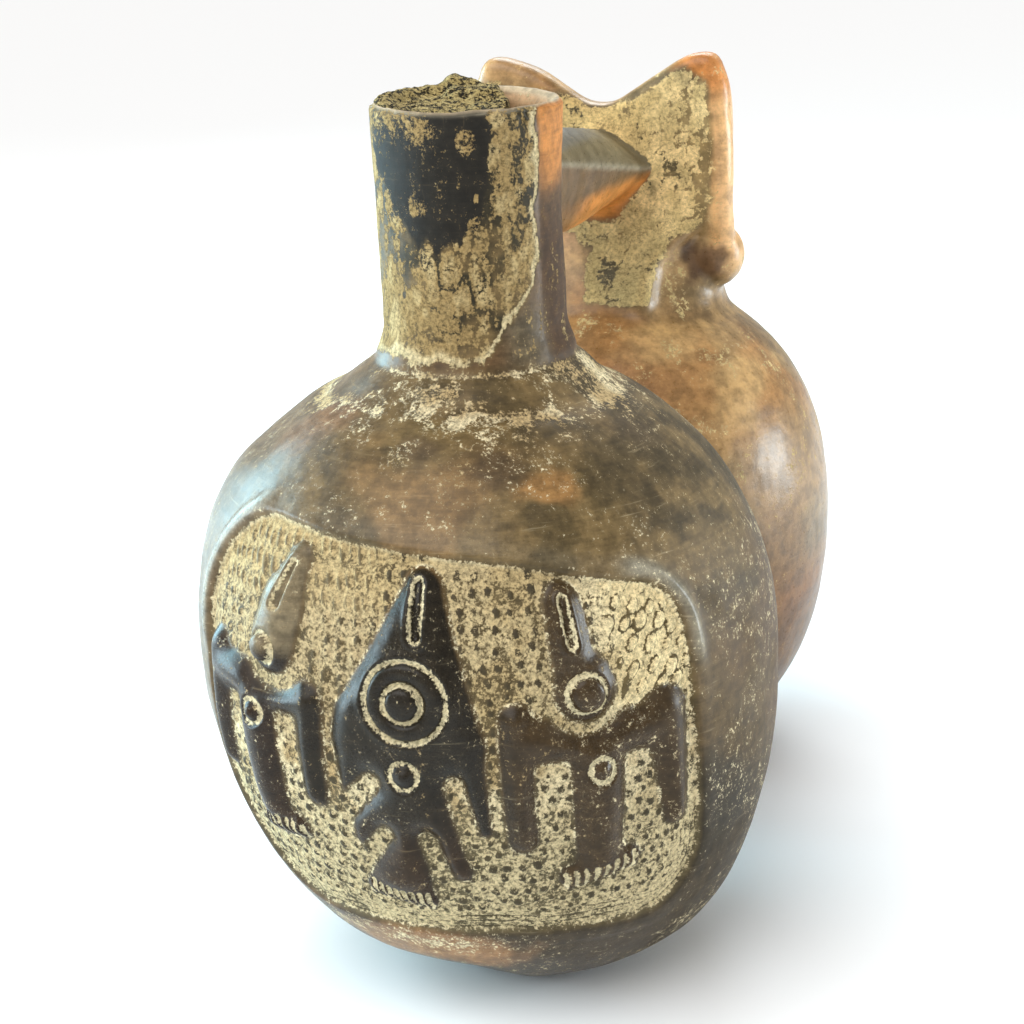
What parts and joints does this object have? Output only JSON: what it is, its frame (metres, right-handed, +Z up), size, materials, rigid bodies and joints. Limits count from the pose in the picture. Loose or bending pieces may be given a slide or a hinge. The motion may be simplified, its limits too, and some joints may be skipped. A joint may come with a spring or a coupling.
{
  "type": "double chamber effigy vessel",
  "caption": "Hollow fired clay vessel: relief-moulded front chamber with open spout, bridge handle to a crested effigy head on the rear chamber.",
  "frame": {"origin": "middle of the footprint at table height: half way along the two chambers, on the centre plane", "axes": "+Z up, +Y from the spouted front chamber towards the rear chamber and its head, +X across"},
  "size_m": [0.14, 0.2655, 0.209],
  "materials": {
    "clay": "satin"
  },
  "bodies": {
    "root": {"vessel": "clay"}
  },
  "joints": []
}
